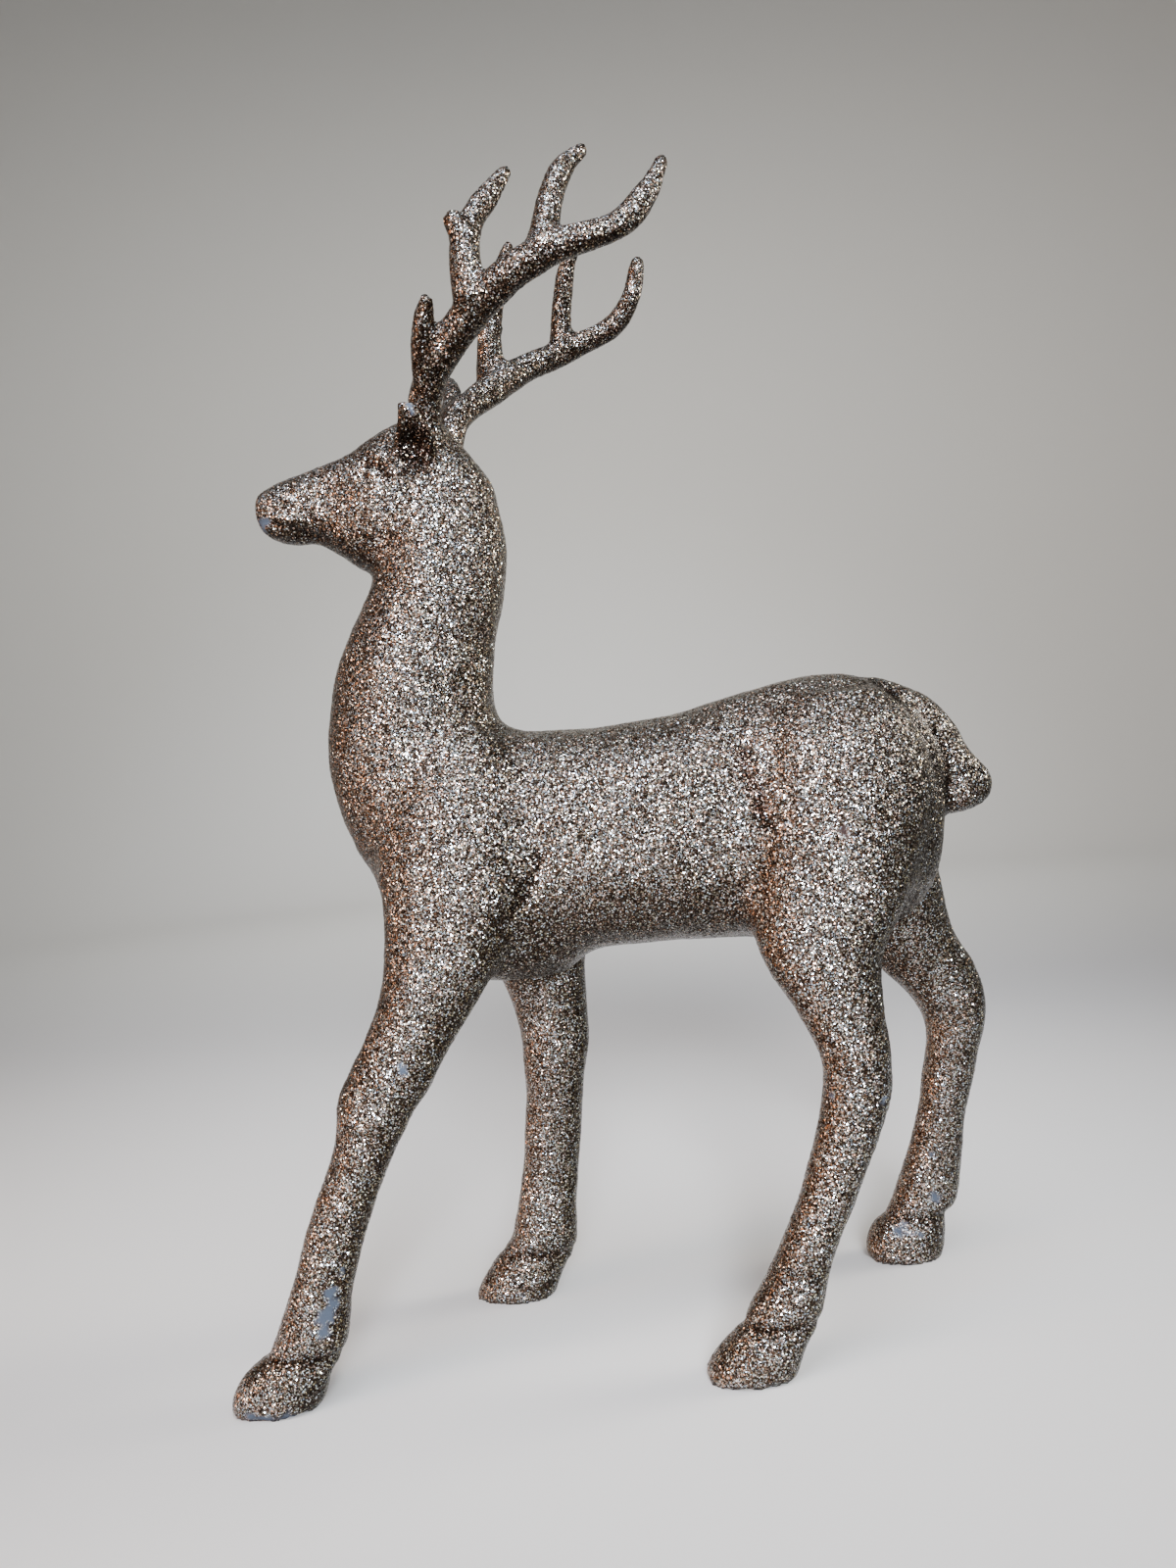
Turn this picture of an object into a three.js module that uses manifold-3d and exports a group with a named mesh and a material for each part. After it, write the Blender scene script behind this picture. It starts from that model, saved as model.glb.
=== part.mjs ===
// A standing reindeer, moulded in one piece: body, neck, head, ears, antlers, tail and four legs.
// Millimetres, +Z up. The nose points along -Y, the animal's left side is +X, and it stands on Z = 0.

import * as THREE from "three";
import Module from "manifold-3d";

const wasm = await Module();
wasm.setup();

// Driving sizes in millimetres
const height = 480;             // from the soles to the top of the antlers
const foreHoofSpacing = 84;     // between the middles of the two front hooves
const hindHoofSpacing = 97;     // between the middles of the two hind hooves
const hoofWidth = 23;           // one hoof, seen from the front
const legWidth = 18.5;          // one leg just above the hoof, seen from the front
const trunkWidth = 78;          // across the ribs
const shoulderSpacing = 45;     // between the middles of the two shoulders
const shoulderWidth = 37;       // one shoulder, seen from the front
const haunchSpacing = 45;       // between the middles of the two haunches
const haunchWidth = 45;         // one haunch, seen from behind
const neckWidth = 48;           // across the neck under the jaw
const headWidth = 44;           // across the cheeks
const tailWidth = 24;
const antlerSpan = 106;         // between the middles of the beams where they bow out most
const leftBeamThickness = 13;   // the left antler's beam at its root
const rightBeamThickness = 11.7;
const earSpan = 66;             // between the tips of the ears
const earThickness = 4.2;
const earHollowDepth = 2.2;
const eyeSpacing = 36;          // between the middles of the eyes
const eyeLength = 8.5;
const eyeTilt = 0.45;           // radians, nose end up
const browTilt = 0.75;

// The pose and the outline are kept as hundredths of the height. "Back" runs towards the tail.
const hundredth = height / 100;

const trunkSides = 24;
const headSides = 20;
const legSides = 12;
const beamSides = 9;
const tineSides = 8;

// Each row of numbers is eased into its neighbours by a Catmull-Rom curve, column by column.
function easeRows(rows, steps) {
  const eased = [];
  for (let span = 0; span < rows.length - 1; span += 1) {
    const before = rows[Math.max(span - 1, 0)];
    const from = rows[span];
    const to = rows[span + 1];
    const after = rows[Math.min(span + 2, rows.length - 1)];
    for (let step = 0; step < steps; step += 1) {
      const t = step / steps;
      eased.push(from.map((value, column) => {
        const slopeIn = (to[column] - before[column]) / 2;
        const slopeOut = (after[column] - value) / 2;
        const rise = to[column] - value;
        return value + slopeIn * t
          + (3 * rise - 2 * slopeIn - slopeOut) * t ** 2
          + (slopeIn + slopeOut - 2 * rise) * t ** 3;
      }));
    }
  }
  eased.push(rows[rows.length - 1]);
  return eased;
}

// A rounded section: an ellipse whose corners fill out as fullness goes above 2.
function roundedSection(sides, halfAcross, halfDeep, fullness) {
  const section = [];
  for (let side = 0; side < sides; side += 1) {
    const turn = 2 * Math.PI * side / sides;
    const across = Math.sign(Math.cos(turn)) * Math.abs(Math.cos(turn)) ** (2 / fullness);
    const deep = Math.sign(Math.sin(turn)) * Math.abs(Math.sin(turn)) ** (2 / fullness);
    section.push([across * halfAcross, deep * halfDeep]);
  }
  return section;
}

// A level slice at one height, from its front edge to its rear edge.
function levelRing(sides, { up, front, rear, out = 0, halfWidth, fullness = 2.2 }) {
  const middle = (front + rear) / 2;
  return roundedSection(sides, halfWidth, (rear - front) / 2, fullness)
    .map(([across, deep]) => new THREE.Vector3(out + across, middle + deep, up));
}

// An upright slice at one place along the body, from its underside to its top.
function uprightRing(sides, { back, top, bottom, halfWidth, fullness = 2.2 }) {
  const middle = (top + bottom) / 2;
  return roundedSection(sides, halfWidth, (top - bottom) / 2, fullness)
    .map(([across, deep]) => new THREE.Vector3(across, back, middle + deep));
}

// Joins rings of equally many points into one closed solid, with a fan over each end.
function solidFromRings(rings) {
  const sides = rings[0].length;
  const points = rings.flat();
  const middleOf = (ring) => ring
    .reduce((sum, point) => sum.add(point), new THREE.Vector3())
    .divideScalar(sides);
  const firstMiddle = points.push(middleOf(rings[0])) - 1;
  const lastMiddle = points.push(middleOf(rings[rings.length - 1])) - 1;
  const lastRing = (rings.length - 1) * sides;
  const faces = [];
  for (let side = 0; side < sides; side += 1) {
    const next = (side + 1) % sides;
    faces.push([firstMiddle, next, side]);
    faces.push([lastMiddle, lastRing + side, lastRing + next]);
    for (let ring = 0; ring < rings.length - 1; ring += 1) {
      const low = ring * sides;
      const high = low + sides;
      faces.push([low + side, low + next, high + next]);
      faces.push([low + side, high + next, high + side]);
    }
  }
  const volume = faces.reduce(
    (sum, [a, b, c]) => sum + points[a].dot(points[b].clone().cross(points[c])), 0);
  const outward = volume > 0 ? faces : faces.map(([a, b, c]) => [a, c, b]);
  return new wasm.Manifold(new wasm.Mesh({
    numProp: 3,
    vertProperties: new Float32Array(points.flatMap((point) => point.toArray())),
    triVerts: new Uint32Array(outward.flat()),
  }));
}

// A tapering round tube along a smooth curve. Place turns a row into a point, and the row's last
// number is the radius.
function taperedTube(rows, sides, steps, place) {
  const eased = easeRows(rows, steps);
  const centres = eased.map((row) => place(row));
  const rings = centres.map((centre, index) => {
    const ahead = centres[Math.min(index + 1, centres.length - 1)];
    const behind = centres[Math.max(index - 1, 0)];
    const along = ahead.clone().sub(behind).normalize();
    const sideways = new THREE.Vector3(1, 0, 0).addScaledVector(along, -along.x).normalize();
    const upright = along.clone().cross(sideways);
    const radius = eased[index][3];
    return roundedSection(sides, radius, radius, 2).map(([across, deep]) => centre.clone()
      .addScaledVector(sideways, across).addScaledVector(upright, deep));
  });
  const tip = centres[centres.length - 1];
  const tipRadius = eased[eased.length - 1][3];
  const onward = tip.clone().sub(centres[centres.length - 2]).normalize();
  const lastRing = rings[rings.length - 1];
  rings.push(lastRing.map((point) => tip.clone()
    .lerp(point, 0.6)
    .addScaledVector(onward, 0.75 * tipRadius)));
  return solidFromRings(rings);
}

// An egg-shaped swelling, for the eyes and the brows, turned about the axis across the head.
function swelling(centre, halfAcross, halfLong, halfHigh, turn) {
  const levels = 7;
  const rings = [];
  for (let level = 0; level < levels; level += 1) {
    const lift = Math.PI * ((level + 0.5) / levels - 0.5);
    const ring = roundedSection(tineSides, halfAcross * Math.cos(lift), halfLong * Math.cos(lift), 2)
      .map(([across, deep]) => new THREE.Vector3(across, deep, halfHigh * Math.sin(lift)));
    rings.push(ring.map((point) => point
      .applyAxisAngle(new THREE.Vector3(1, 0, 0), turn)
      .add(centre)));
  }
  return solidFromRings(rings);
}

// Trunk: back, top, underside, and half the width as a share of the ribs' half width
const trunkRows = [
  [-18.6, 49.0, 41.0, 0.35],
  [-17.0, 51.5, 36.5, 0.70],
  [-13.5, 53.0, 33.8, 0.89],
  [-8.0, 53.2, 33.2, 0.95],
  [-1.0, 52.8, 33.7, 0.99],
  [6.0, 53.2, 33.9, 1.00],
  [12.0, 54.3, 33.6, 0.96],
  [18.0, 55.6, 33.2, 0.95],
  [23.0, 55.6, 33.2, 0.96],
  [26.2, 54.3, 34.1, 0.89],
  [28.5, 52.3, 36.4, 0.72],
  [29.9, 49.8, 39.8, 0.48],
  [30.5, 47.2, 42.4, 0.22],
];

function trunk() {
  return solidFromRings(easeRows(trunkRows, 2).map(([back, top, bottom, share]) => uprightRing(trunkSides, {
    back: back * hundredth,
    top: top * hundredth,
    bottom: bottom * hundredth,
    halfWidth: share * trunkWidth / 2,
    fullness: 2.3,
  })));
}

// Breast, neck and skull: height, front, rear, and half the width as a share of the neck's half width
const neckRows = [
  [31.9, -14.0, -3.4, 0.60],
  [34.0, -17.4, -0.7, 1.15],
  [38.0, -18.7, 1.0, 1.36],
  [41.5, -19.3, 0.5, 1.44],
  [44.0, -20.7, -1.0, 1.46],
  [48.5, -22.1, -4.5, 1.42],
  [52.5, -22.5, -6.8, 1.30],
  [56.0, -22.1, -7.8, 1.16],
  [60.5, -20.9, -7.6, 1.05],
  [64.5, -18.7, -6.4, 1.00],
  [68.5, -17.0, -5.8, 0.97],
  [72.5, -16.4, -5.9, 0.92],
  [75.5, -16.0, -6.7, 0.85],
  [78.0, -15.2, -8.3, 0.68],
  [80.0, -14.3, -9.8, 0.40],
];

function neck() {
  return solidFromRings(easeRows(neckRows, 2).map(([up, front, rear, share]) => levelRing(trunkSides, {
    up: up * hundredth,
    front: front * hundredth,
    rear: rear * hundredth,
    halfWidth: share * neckWidth / 2,
    fullness: 2.15,
  })));
}

// Head: back, top, underside, and half the width as a share of the head's half width
const headRows = [
  [-27.0, 75.2, 73.4, 0.22],
  [-26.8, 75.8, 72.7, 0.40],
  [-25.8, 76.2, 71.9, 0.52],
  [-24.2, 76.7, 71.3, 0.56],
  [-22.0, 77.4, 71.1, 0.60],
  [-20.3, 77.9, 70.1, 0.68],
  [-18.3, 78.6, 68.6, 0.83],
  [-16.3, 79.6, 68.2, 0.95],
  [-14.2, 80.7, 68.4, 1.00],
  [-12.0, 81.2, 69.5, 0.95],
  [-9.8, 80.2, 71.5, 0.72],
];

function head() {
  const rings = easeRows(headRows, 2).map(([back, top, bottom, share]) => uprightRing(headSides, {
    back: back * hundredth,
    top: top * hundredth,
    bottom: bottom * hundredth,
    halfWidth: share * headWidth / 2,
    fullness: 2.3,
  }));
  const skull = solidFromRings(rings);
  const features = [];
  for (const side of [-1, 1]) {
    const eye = new THREE.Vector3(side * eyeSpacing / 2, -16.1 * hundredth, 75.8 * hundredth);
    const brow = new THREE.Vector3(side * eyeSpacing * 0.46, -15.6 * hundredth, 77.2 * hundredth);
    features.push(swelling(eye, 0.42 * eyeLength, 0.5 * eyeLength, 0.32 * eyeLength, -eyeTilt));
    features.push(swelling(brow, 0.5 * eyeLength, 0.8 * eyeLength, 0.3 * eyeLength, -browTilt));
  }
  return features.reduce((whole, feature) => whole.add(feature), skull);
}

// Tail: a band that runs down over the croup and hangs free; height, front, rear, share of its half width
const tailRows = [
  [42.9, 29.5, 32.2, 0.55],
  [43.5, 28.8, 34.2, 0.85],
  [44.6, 28.2, 35.1, 0.95],
  [46.2, 27.8, 34.9, 1.00],
  [48.4, 27.4, 33.3, 1.00],
  [51.0, 26.4, 32.1, 0.98],
  [53.2, 24.6, 30.1, 0.90],
  [54.5, 23.0, 27.8, 0.78],
  [55.2, 21.8, 26.0, 0.55],
];

function tail() {
  return solidFromRings(easeRows(tailRows, 2).map(([up, front, rear, share]) => levelRing(legSides, {
    up: up * hundredth,
    front: front * hundredth,
    rear: rear * hundredth,
    halfWidth: share * tailWidth / 2,
    fullness: 2.1,
  })));
}

// Heights at which every leg is measured, from the sole to the shoulder or the haunch
const legLevels = [0, 1, 2.5, 4, 5.5, 9, 14, 20, 24, 28, 32, 37, 44, 50, 54];

// How far each level stands out sideways: 1 over the hoof, 0 under the shoulder or the haunch
const legReach = [1, 1, 0.99, 0.97, 0.95, 0.9, 0.82, 0.7, 0.62, 0.52, 0.4, 0.22, 0.06, -0.06, -0.25];

// Half the width: of the hoof for three levels, then of the leg, then of the shoulder or the haunch
const hoofShares = [1.0, 1.04, 0.98];
const shinShares = [1.0, 1.1, 0.97, 0.95, 1.06, 1.24];
const foreThighShares = [0.64, 0.78, 0.95, 1.0, 0.8, 0.35];
const hindThighShares = [0.52, 0.68, 0.9, 1.0, 0.88, 0.5];

const legs = [
  {
    side: 1,
    fore: true,
    front: [
      -32.7, -32.7, -31.9, -30.0, -28.9, -27.5, -25.7, -23.3, -22.6, -20.5, -18.7, -18.0, -18.0,
      -16.0, -13.0,
    ],
    rear: [
      -25.8, -25.3, -24.8, -23.7, -23.2, -22.6, -21.0, -18.3, -15.5, -13.1, -10.1, -6.8, -4.5,
      -6.0, -9.0,
    ],
  },
  {
    side: -1,
    fore: true,
    front: [
      -14.6, -14.3, -13.3, -12.2, -11.0, -9.9, -9.0, -8.3, -8.3, -8.9, -10.2, -12.5, -16.0, -15.0,
      -12.0,
    ],
    rear: [-7.4, -7.0, -6.2, -5.1, -4.8, -4.5, -3.8, -2.9, -2.2, -2.1, -1.8, -1.2, -2.5, -5.0, -8.5],
  },
  {
    side: 1,
    fore: false,
    front: [5.5, 5.7, 6.9, 8.5, 9.4, 11.8, 14.3, 16.5, 17.0, 15.5, 13.2, 12.3, 13.0, 14.0, 17.0],
    rear: [12.5, 12.8, 13.5, 14.6, 15.1, 16.3, 18.9, 21.8, 22.5, 22.3, 22.7, 25.5, 28.0, 28.0, 25.5],
  },
  {
    side: -1,
    fore: false,
    front: [23.3, 23.0, 23.5, 24.7, 25.9, 27.3, 28.8, 30.0, 29.6, 26.5, 23.3, 19.5, 15.5, 15.0, 17.5],
    rear: [29.9, 30.2, 30.5, 30.7, 31.9, 32.6, 33.3, 34.8, 35.6, 34.7, 32.6, 31.5, 30.5, 29.2, 25.5],
  },
];

function leg({ side, fore, front, rear }) {
  const rootOut = (fore ? shoulderSpacing : haunchSpacing) / 2;
  const rootWidth = fore ? shoulderWidth : haunchWidth;
  const soleOut = (fore ? foreHoofSpacing : hindHoofSpacing) / 2;
  const halfWidths = [
    ...hoofShares.map((share) => share * hoofWidth / 2),
    ...shinShares.map((share) => share * legWidth / 2),
    ...(fore ? foreThighShares : hindThighShares).map((share) => share * rootWidth / 2),
  ];
  const rows = legLevels.map((up, index) => [
    up * hundredth,
    front[index] * hundredth,
    rear[index] * hundredth,
    side * (rootOut + legReach[index] * (soleOut - rootOut)),
    halfWidths[index],
  ]);
  const slices = easeRows(rows, 2);
  return solidFromRings(slices.map(([up, frontEdge, rearEdge, out, halfWidth]) => levelRing(legSides, {
    up,
    front: frontEdge,
    rear: rearEdge,
    out,
    halfWidth,
    fullness: 2.3,
  })));
}

// Antlers, the left one a little thicker: how far back the left one and the right one run, height,
// sideways as a share of the widest bow, and radius as a share of the root's radius
const beamRows = [
  [-11.4, -10.3, 78.5, 0.20, 1.00],
  [-11.1, -9.4, 82.2, 0.36, 1.00],
  [-8.4, -6.6, 85.4, 0.62, 1.10],
  [-3.9, -2.8, 88.5, 0.88, 1.00],
  [0.6, 1.3, 90.4, 1.00, 0.88],
  [5.8, 5.8, 92.0, 0.95, 0.76],
  [8.3, 7.9, 94.5, 0.88, 0.68],
  [9.9, 8.7, 97.4, 0.83, 0.40],
];
const tineRows = {
  brow: [
    [-11.0, -10.2, 82.0, 0.38, 0.86],
    [-10.8, -9.9, 84.4, 0.58, 0.74],
    [-10.4, -9.9, 86.2, 0.72, 0.66],
    [-9.9, -10.2, 87.7, 0.85, 0.38],
  ],
  bez: [
    [-6.2, -6.1, 87.2, 0.82, 1.12],
    [-6.5, -6.0, 91.2, 0.81, 0.88],
    [-6.0, -5.4, 94.0, 0.75, 0.76],
    [-4.4, -4.4, 96.6, 0.67, 0.63],
    [-2.8, -3.4, 98.9, 0.60, 0.34],
  ],
  stub: [
    [-6.2, -5.4, 91.8, 0.80, 0.66],
    [-7.1, -6.4, 94.0, 0.83, 0.56],
  ],
  crown: [
    [-0.2, 0.9, 90.2, 0.99, 1.00],
    [0.3, 1.0, 93.0, 0.94, 0.80],
    [1.0, 1.5, 95.6, 0.87, 0.70],
    [2.1, 2.2, 98.0, 0.79, 0.58],
    [3.7, 3.2, 99.4, 0.75, 0.30],
  ],
};

function antler(side) {
  const rootRadius = (side > 0 ? leftBeamThickness : rightBeamThickness) / 2;
  const place = ([back, up, share]) => new THREE.Vector3(
    side * share * antlerSpan / 2,
    back * hundredth,
    up * hundredth,
  );
  const ownRows = (rows) => rows.map(([leftBack, rightBack, up, share, radius]) => [
    side > 0 ? leftBack : rightBack, up, share, radius * rootRadius,
  ]);
  const beam = taperedTube(ownRows(beamRows), beamSides, 3, place);
  return Object.values(tineRows)
    .map((rows) => taperedTube(ownRows(rows), tineSides, 2, place))
    .reduce((whole, tine) => whole.add(tine), beam);
}

// Ears: cupped leaves. Height, back, sideways as a share of the tip's reach, half the leaf's width
const earRows = [
  [75.0, -12.9, 0.52, 0.6],
  [76.2, -12.6, 0.62, 1.6],
  [77.4, -12.4, 0.73, 1.9],
  [78.6, -12.2, 0.83, 1.6],
  [79.7, -12.3, 0.93, 1.0],
  [80.7, -12.4, 1.00, 0.6],
];
const earHollowScale = 0.68;
const earLean = 0.5;            // how far the outer face drops for each millimetre outwards

function ear(side) {
  const leaf = (widthScale, thickness, outward) => solidFromRings(
    easeRows(earRows, 3).map(([up, back, reach, halfWidth]) => {
      const half = halfWidth * widthScale * hundredth;
      const section = roundedSection(tineSides, thickness / 2, half, 2);
      return section.map(([across, deep]) => new THREE.Vector3(
        side * (reach * earSpan / 2 + outward + across),
        back * hundredth + deep,
        up * hundredth - earLean * (across + outward),
      ));
    }),
  );
  const hollow = leaf(earHollowScale, 2 * earHollowDepth, earThickness / 2);
  return leaf(1, earThickness, 0).subtract(hollow);
}

const pieces = [
  trunk(),
  neck(),
  head(),
  tail(),
  ...legs.map((shape) => leg(shape)),
  antler(1),
  antler(-1),
  ear(1),
  ear(-1),
];
const figure = pieces.reduce((whole, piece) => whole.add(piece));

const { vertProperties, triVerts } = figure.getMesh();
const geometry = new THREE.BufferGeometry();
geometry.setAttribute("position", new THREE.BufferAttribute(new Float32Array(vertProperties), 3));
geometry.setIndex(new THREE.BufferAttribute(new Uint32Array(triVerts), 1));

// The statue stands on the ground with the middle of its outline over the origin.
geometry.computeBoundingBox();
const { min, max } = geometry.boundingBox;
geometry.translate(-(min.x + max.x) / 2, -(min.y + max.y) / 2, -min.z);
geometry.computeVertexNormals();

const glitterPlastic = new THREE.MeshStandardMaterial({
  name: "champagne glitter on moulded plastic",
  color: 0xb9a690,
  roughness: 0.45,
  metalness: 0.6,
});

const reindeer = new THREE.Mesh(geometry, glitterPlastic);
reindeer.name = "reindeer";

const statue = new THREE.Group();
statue.add(reindeer);

export default statue;
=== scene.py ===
import math

import bpy
import numpy as np
from mathutils import Matrix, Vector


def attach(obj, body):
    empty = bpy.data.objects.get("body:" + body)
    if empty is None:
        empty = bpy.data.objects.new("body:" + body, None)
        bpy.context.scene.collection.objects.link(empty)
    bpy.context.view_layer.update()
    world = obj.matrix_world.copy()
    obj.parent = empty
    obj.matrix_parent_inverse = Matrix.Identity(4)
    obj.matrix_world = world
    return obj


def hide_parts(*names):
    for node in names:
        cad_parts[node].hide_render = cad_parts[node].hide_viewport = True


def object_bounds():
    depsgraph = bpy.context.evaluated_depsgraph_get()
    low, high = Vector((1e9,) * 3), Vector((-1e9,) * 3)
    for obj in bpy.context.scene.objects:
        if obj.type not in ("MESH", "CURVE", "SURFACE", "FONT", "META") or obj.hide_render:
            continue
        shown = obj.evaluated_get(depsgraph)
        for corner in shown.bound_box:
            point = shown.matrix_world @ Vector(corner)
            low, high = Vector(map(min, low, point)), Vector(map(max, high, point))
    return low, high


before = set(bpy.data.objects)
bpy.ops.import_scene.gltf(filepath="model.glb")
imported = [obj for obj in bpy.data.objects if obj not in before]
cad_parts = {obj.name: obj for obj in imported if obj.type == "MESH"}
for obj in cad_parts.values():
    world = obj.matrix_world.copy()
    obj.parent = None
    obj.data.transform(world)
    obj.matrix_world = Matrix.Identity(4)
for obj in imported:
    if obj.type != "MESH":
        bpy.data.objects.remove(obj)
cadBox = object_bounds()
mm = 0.001

# The figure: a blow-moulded reindeer that stands on four hooves, nose along -Y, left side +X.
# Widths and thicknesses are real sizes. The outline is in hundredths of the height.
figure = {
    "height": 480 * mm,
    "frontHoofSpacing": 84 * mm,    # between the middles of the two front hooves
    "hindHoofSpacing": 97 * mm,
    "hoofWidth": 23 * mm,
    "legWidth": 18.5 * mm,
    "trunkWidth": 78 * mm,
    "shoulderSpacing": 45 * mm,
    "shoulderWidth": 37 * mm,
    "haunchSpacing": 45 * mm,
    "haunchWidth": 45 * mm,
    "neckWidth": 48 * mm,
    "headWidth": 44 * mm,
    "tailWidth": 24 * mm,
    "antlerSpan": 106 * mm,
    "leftBeamThickness": 13 * mm,
    "rightBeamThickness": 11.7 * mm,
    "earSpan": 66 * mm,
    "earThickness": 4.4 * mm,
    "earLean": 0.5,                 # of the thickness, so that the outer face looks down
    "meshSize": 1.62 * mm,          # fine enough for the chips' edges
}
hundredth = figure["height"] / 100

# How full each form's section is, where 2 is an ellipse and more is squarer
sectionFullness = {
    "trunk": 2.3,
    "neck": 2.15,
    "head": 2.3,
    "tail": 2.1,
    "leg": 2.3,
    "round": 2,
}
# Slices from one row of a table to the next, and points round a slice
slices = {
    "body": 6,
    "leg": 7,
    "antler": 8,
    "ear": 8,
}
pointsRound = {
    "body": 96,
    "limb": 64,
    "antler": 24,
}


# Catmull-Rom curve, column by column: between two rows, a cubic that leaves and arrives with
# half the difference of the rows on either side.
def easeRows(rows, steps):
    rows = np.array(rows, float)
    before = np.vstack([rows[:1], rows[:-2]])[:, None]
    start = rows[:-1, None]
    end = rows[1:, None]
    after = np.vstack([rows[2:], rows[-1:]])[:, None]
    t = (np.arange(steps) / steps)[None, :, None]
    slopeIn = (end - before) / 2
    slopeOut = (after - start) / 2
    rise = end - start
    eased = (start + slopeIn * t + (3 * rise - 2 * slopeIn - slopeOut) * t ** 2
             + (slopeIn + slopeOut - 2 * rise) * t ** 3)
    return np.vstack([eased.reshape(-1, rows.shape[1]), rows[-1:]])


# Superellipse: the cosine and sine of the turn, each raised to 2 / fullness with its sign kept.
def roundedSection(sides, fullness):
    turn = np.linspace(0, 2 * np.pi, sides, endpoint=False)
    across = np.sign(np.cos(turn)) * np.abs(np.cos(turn)) ** (2 / fullness)
    deep = np.sign(np.sin(turn)) * np.abs(np.sin(turn)) ** (2 / fullness)
    return across, deep


# Level slices: x = out + across * half width, y = middle + deep * half depth, z = up.
def levelSkin(up, front, rear, out, halfWidth, fullness, sides):
    across, deep = roundedSection(sides, fullness)
    x = out[:, None] + halfWidth[:, None] * across
    y = ((front + rear) / 2)[:, None] + ((rear - front) / 2)[:, None] * deep
    z = np.broadcast_to(up[:, None], x.shape)
    return np.stack([x, y, z], axis=-1)


# Upright slices: x = across * half width, y = back, z = middle + deep * half height.
def uprightSkin(back, top, bottom, halfWidth, fullness, sides):
    across, deep = roundedSection(sides, fullness)
    x = halfWidth[:, None] * across
    z = ((top + bottom) / 2)[:, None] + ((top - bottom) / 2)[:, None] * deep
    y = np.broadcast_to(back[:, None], x.shape)
    return np.stack([x, y, z], axis=-1)


# Tube: a circle of the given radius at right angles to the path, closed by a half ball at its end.
def tubeSkin(centres, radii, sides):
    along = np.gradient(centres, axis=0)
    dome = np.linspace(0.15, 1, 6) * np.pi / 2
    tipAlong = along[-1] / np.linalg.norm(along[-1])
    centres = np.vstack([centres, centres[-1] + np.sin(dome)[:, None] * radii[-1] * tipAlong])
    radii = np.concatenate([radii, radii[-1] * np.maximum(np.cos(dome), 0.02)])
    along = np.vstack([along, np.tile(tipAlong, (len(dome), 1))])
    along /= np.linalg.norm(along, axis=1, keepdims=True)
    sideways = np.array([1.0, 0, 0]) - along * along[:, :1]
    sideways /= np.linalg.norm(sideways, axis=1, keepdims=True)
    upright = np.cross(along, sideways)
    across, deep = roundedSection(sides, sectionFullness["round"])
    ring = across[None, :, None] * sideways[:, None] + deep[None, :, None] * upright[:, None]
    return centres[:, None] + radii[:, None, None] * ring


shells = []

# Trunk: back, top, underside, and half the width as a share of the ribs' half width
trunk = easeRows([
    [-18.6, 49.0, 41.0, 0.35],
    [-17.0, 51.5, 36.5, 0.70],
    [-13.5, 53.0, 33.8, 0.89],
    [-8.0, 53.2, 33.2, 0.95],
    [-1.0, 52.8, 33.7, 0.99],
    [6.0, 53.2, 33.9, 1.00],
    [12.0, 54.3, 33.6, 0.96],
    [18.0, 55.6, 33.2, 0.95],
    [23.0, 55.6, 33.2, 0.96],
    [26.2, 54.3, 34.1, 0.89],
    [28.5, 52.3, 36.4, 0.72],
    [29.9, 49.8, 39.8, 0.48],
    [30.5, 47.2, 42.4, 0.22],
], slices["body"]).T
shells.append(uprightSkin(
    *trunk[:3] * hundredth, trunk[3] * figure["trunkWidth"] / 2, sectionFullness["trunk"],
    pointsRound["body"]))

# Breast, neck and skull: height, front, rear, and the share of the neck's half width
neck = easeRows([
    [31.9, -14.0, -3.4, 0.60],
    [34.0, -17.4, -0.7, 1.15],
    [38.0, -18.7, 1.0, 1.36],
    [41.5, -19.3, 0.5, 1.44],
    [44.0, -20.7, -1.0, 1.46],
    [48.5, -22.1, -4.5, 1.42],
    [52.5, -22.5, -6.8, 1.30],
    [56.0, -22.1, -7.8, 1.16],
    [60.5, -20.9, -7.6, 1.05],
    [64.5, -18.7, -6.4, 1.00],
    [68.5, -17.0, -5.8, 0.97],
    [72.5, -16.4, -5.9, 0.92],
    [75.5, -16.0, -6.7, 0.85],
    [78.0, -15.2, -8.3, 0.68],
    [80.0, -14.3, -9.8, 0.40],
], slices["body"]).T
shells.append(levelSkin(
    *neck[:3] * hundredth, 0 * neck[0], neck[3] * figure["neckWidth"] / 2, sectionFullness["neck"],
    pointsRound["body"]))

# Head: back, top, underside, and the share of the head's half width
head = easeRows([
    [-26.9, 75.1, 73.2, 0.24],
    [-26.7, 75.7, 72.5, 0.42],
    [-25.8, 76.2, 71.8, 0.52],
    [-24.2, 76.7, 71.3, 0.56],
    [-22.0, 77.4, 71.1, 0.60],
    [-20.3, 77.9, 70.1, 0.68],
    [-18.3, 78.6, 68.6, 0.83],
    [-16.3, 79.6, 68.2, 0.95],
    [-14.2, 80.7, 68.4, 1.00],
    [-12.0, 81.2, 69.5, 0.95],
    [-9.8, 80.2, 71.5, 0.72],
], slices["body"]).T
shells.append(uprightSkin(
    *head[:3] * hundredth, head[3] * figure["headWidth"] / 2, sectionFullness["head"],
    pointsRound["limb"]))

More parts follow.
